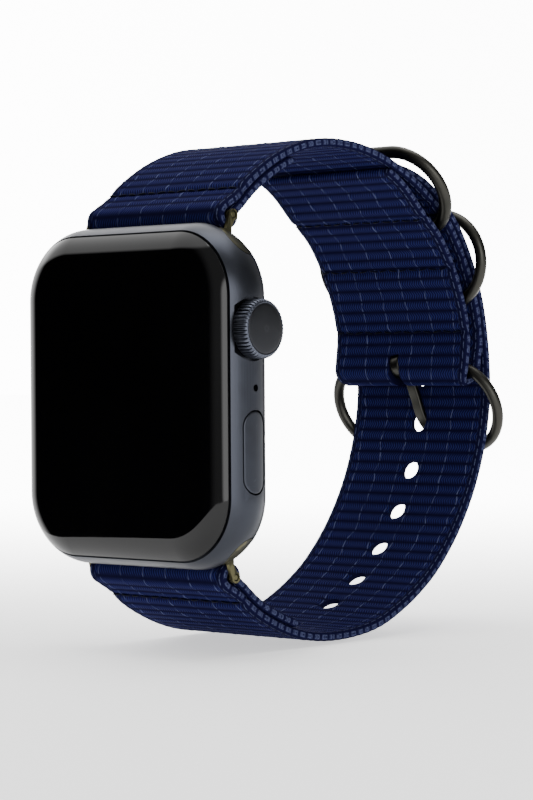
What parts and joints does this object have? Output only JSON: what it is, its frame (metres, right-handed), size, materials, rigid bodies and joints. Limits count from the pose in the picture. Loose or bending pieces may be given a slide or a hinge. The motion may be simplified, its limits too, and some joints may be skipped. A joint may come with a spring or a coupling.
{
  "type": "smart watch with webbing band",
  "caption": "Rounded rectangular smart watch on a fastened two-piece webbing band with oval keeper rings, a ring buckle and a tongue.",
  "frame": {"origin": "centre of the display face", "axes": "+X towards the crown side, -Y straight out of the display, +Z to twelve o'clock"},
  "size_m": [0.0402, 0.0667, 0.0672],
  "materials": {
    "case_metal": "bead-blasted, dark blue-grey anodised",
    "cover_glass": "polished black-backed glass",
    "display": "unlit display",
    "seal": "satin",
    "back_ceramic": "polished dark ceramic",
    "board": "solder-masked board",
    "battery": "matt film",
    "steel": "turned",
    "brass": "turned",
    "lug_metal": "dark olive-bronze plating",
    "ring_metal": "satin gunmetal plating",
    "webbing": "ribbed navy nylon webbing"
  },
  "bodies": {
    "band": {"upper_strap": "webbing", "lower_strap": "webbing", "lug_upper": "lug_metal", "lug_lower": "lug_metal", "spring_bar_upper": "steel", "spring_bar_lower": "steel"},
    "watch": {"watch_case": "case_metal", "cover_glass": "cover_glass", "display_gasket": "seal", "display_panel": "display", "logic_board": "board", "battery": "battery", "speaker": "battery", "microphone": "steel", "haptic_housing": "steel", "sensor_board": "board", "back_plate": "back_ceramic", "sensor_crystal": "back_ceramic", "crown_bush": "brass", "crown_seal": "seal", "side_button_switch": "board"},
    "haptic": {"haptic_mass": "brass"},
    "crown_slide": {"crown_carrier": "steel"},
    "crown": {"crown_knob": "case_metal", "crown_cap": "case_metal", "crown_stem": "steel"},
    "side_key": {"side_button": "case_metal"},
    "release_upper": {"release_button_upper": "case_metal"},
    "release_lower": {"release_button_lower": "case_metal"},
    "latch_upper": {"latch_pin_upper": "steel"},
    "latch_lower": {"latch_pin_lower": "steel"},
    "keeper_front": {"keeper_ring_front": "ring_metal"},
    "keeper_rear": {"keeper_ring_rear": "ring_metal"},
    "buckle": {"buckle_ring": "ring_metal"},
    "tongue": {"buckle_tongue": "ring_metal"}
  },
  "joints": [
    {"name": "case_slide", "type": "slide", "parent": "band", "child": "watch", "axis": [1, 0, 0], "range_m": [-0.034, 0.034]},
    {"name": "haptic_slide", "type": "slide", "parent": "watch", "child": "haptic", "axis": [1, 0, 0], "range_m": [-0.0005, 0.0005], "stiffness_N_per_m": 400},
    {"name": "crown_press", "type": "slide", "parent": "watch", "child": "crown_slide", "axis": [-1, 0, 0], "range_m": [0, 0.0003], "stiffness_N_per_m": 4000},
    {"name": "crown_turn", "type": "hinge", "parent": "crown_slide", "child": "crown", "pos_m": [0, 0.00535, 0.0084], "axis": [1, 0, 0], "continuous": true},
    {"name": "side_button_press", "type": "slide", "parent": "watch", "child": "side_key", "axis": [-1, 0, 0], "range_m": [0, 0.0003], "stiffness_N_per_m": 4000},
    {"name": "release_upper_press", "type": "slide", "parent": "watch", "child": "release_upper", "axis": [0, -1, 0], "range_m": [0, 0.0004], "stiffness_N_per_m": 1500},
    {"name": "release_lower_press", "type": "slide", "parent": "watch", "child": "release_lower", "axis": [0, -1, 0], "range_m": [0, 0.0004], "stiffness_N_per_m": 1500},
    {"name": "latch_upper_retract", "type": "slide", "parent": "band", "child": "latch_upper", "axis": [0, 0, 1], "range_m": [0, 0.0004], "stiffness_N_per_m": 800},
    {"name": "latch_lower_retract", "type": "slide", "parent": "band", "child": "latch_lower", "axis": [0, 0, -1], "range_m": [0, 0.0004], "stiffness_N_per_m": 800},
    {"name": "keeper_front_swing", "type": "hinge", "parent": "band", "child": "keeper_front", "pos_m": [0, 0.05335, 0.02285], "axis": [-1, 0, 0], "range_deg": [-1, 20]},
    {"name": "keeper_rear_swing", "type": "hinge", "parent": "band", "child": "keeper_rear", "pos_m": [0, 0.05935, 0.0125], "axis": [-1, 0, 0], "range_deg": [-1, 20]},
    {"name": "buckle_swing", "type": "hinge", "parent": "band", "child": "buckle", "pos_m": [0, 0.05985, 0.0039], "axis": [1, 0, 0], "range_deg": [-1, 1]},
    {"name": "tongue_swing", "type": "hinge", "parent": "buckle", "child": "tongue", "pos_m": [0, 0.05985, 0.0039], "axis": [1, 0, 0], "range_deg": [-0.5, 0.8]}
  ]
}
